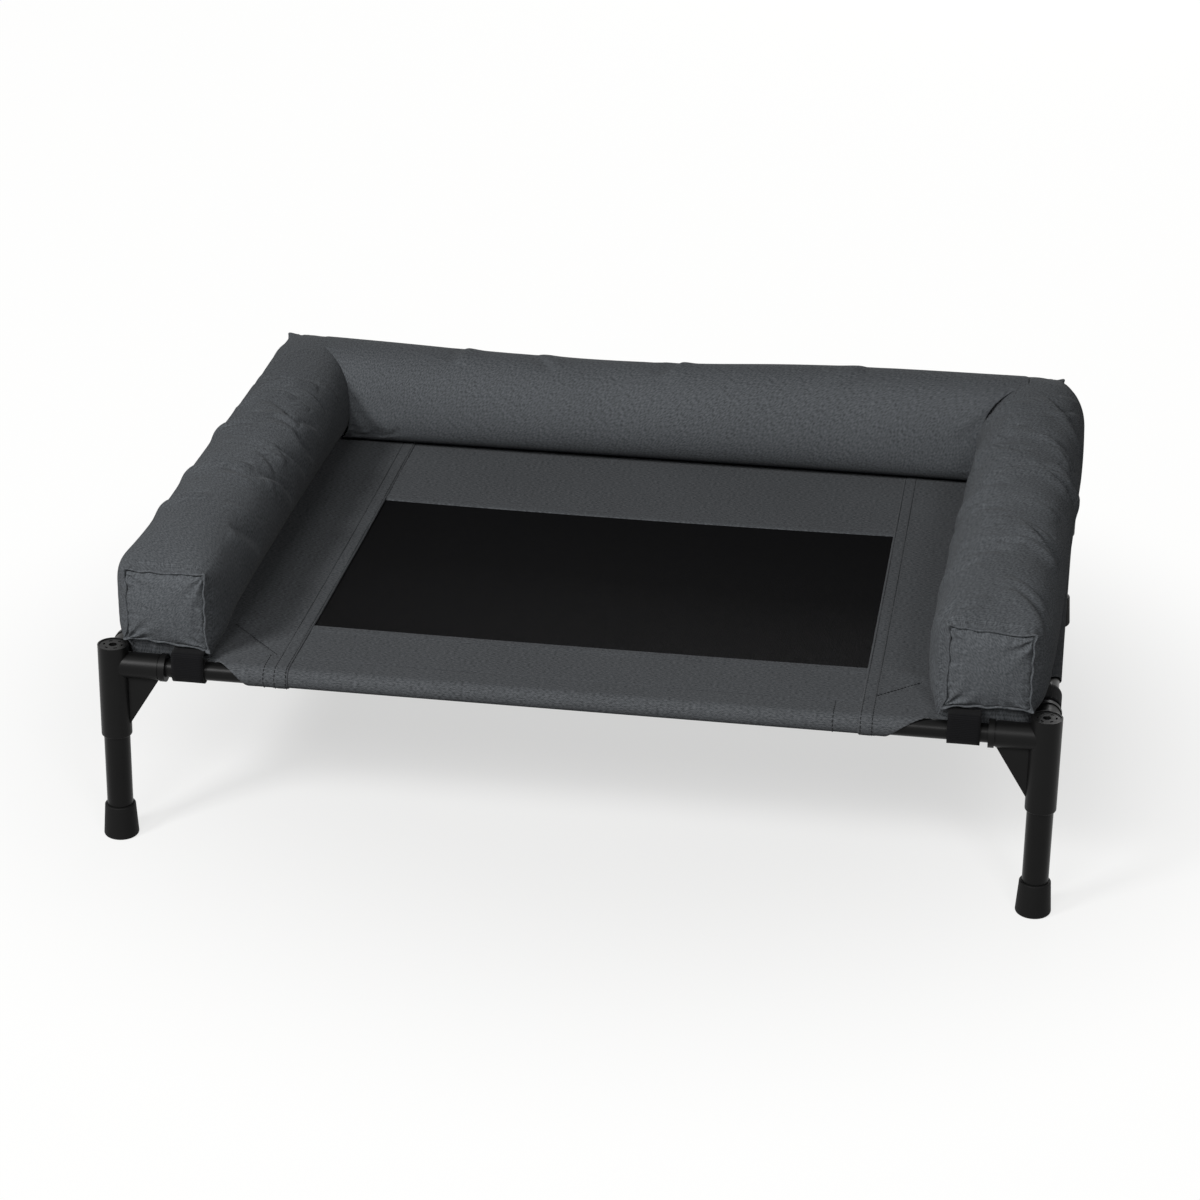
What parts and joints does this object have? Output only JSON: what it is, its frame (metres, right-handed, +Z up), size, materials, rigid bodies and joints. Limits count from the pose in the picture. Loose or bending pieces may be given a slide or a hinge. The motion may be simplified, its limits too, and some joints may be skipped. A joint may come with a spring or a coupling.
{
  "type": "raised dog cot",
  "caption": "Raised cot: a fabric sling with a mesh panel sleeved over a tube frame on plug-in legs, with a U-shaped padded bolster strapped to the rails, for a dog to lie on.",
  "frame": {"origin": "on the floor under the middle of the cot", "axes": "+X to the right along the long rails, +Y from the open front to the bolster's back arm, +Z up"},
  "size_m": [0.813, 0.622, 0.2621],
  "materials": {
    "tube_paint": "satin black powder coat on steel tube",
    "corner_plastic": "fine-textured black moulded plastic",
    "foot_rubber": "matte black rubber",
    "sling_fabric": "slate grey plain-woven polyester",
    "mesh_fabric": "fine black open mesh",
    "bolster_fabric": "slate grey woven polyester with a faint sheen",
    "fibre_filling": "loose white polyester fibre",
    "strap_webbing": "black hook-and-loop webbing"
  },
  "bodies": {
    "frame": {"front_rail": "tube_paint", "back_rail": "tube_paint", "left_rail": "tube_paint", "right_rail": "tube_paint", "front_left_corner": "corner_plastic", "front_right_corner": "corner_plastic", "back_left_corner": "corner_plastic", "back_right_corner": "corner_plastic", "left_side_panel": "sling_fabric", "right_side_panel": "sling_fabric", "front_panel": "sling_fabric", "back_panel": "sling_fabric", "mesh_panel": "mesh_fabric", "left_arm_cover": "bolster_fabric", "right_arm_cover": "bolster_fabric", "back_arm_cover": "bolster_fabric", "left_arm_filling": "fibre_filling", "right_arm_filling": "fibre_filling", "back_arm_filling": "fibre_filling", "front_rail_left_strap": "strap_webbing", "front_rail_right_strap": "strap_webbing", "back_rail_left_strap": "strap_webbing", "back_rail_right_strap": "strap_webbing", "left_rail_front_strap": "strap_webbing", "left_rail_back_strap": "strap_webbing", "right_rail_front_strap": "strap_webbing", "right_rail_back_strap": "strap_webbing"},
    "front_left_leg": {"front_left_leg": "tube_paint", "front_left_foot": "foot_rubber"},
    "front_right_leg": {"front_right_leg": "tube_paint", "front_right_foot": "foot_rubber"},
    "back_left_leg": {"back_left_leg": "tube_paint", "back_left_foot": "foot_rubber"},
    "back_right_leg": {"back_right_leg": "tube_paint", "back_right_foot": "foot_rubber"}
  },
  "joints": [
    {"name": "front_left_leg_slide", "type": "slide", "parent": "frame", "child": "front_left_leg", "axis": [0, 0, -1], "range_m": [0, 0.08]},
    {"name": "front_right_leg_slide", "type": "slide", "parent": "frame", "child": "front_right_leg", "axis": [0, 0, -1], "range_m": [0, 0.08]},
    {"name": "back_left_leg_slide", "type": "slide", "parent": "frame", "child": "back_left_leg", "axis": [0, 0, -1], "range_m": [0, 0.08]},
    {"name": "back_right_leg_slide", "type": "slide", "parent": "frame", "child": "back_right_leg", "axis": [0, 0, -1], "range_m": [0, 0.08]}
  ]
}
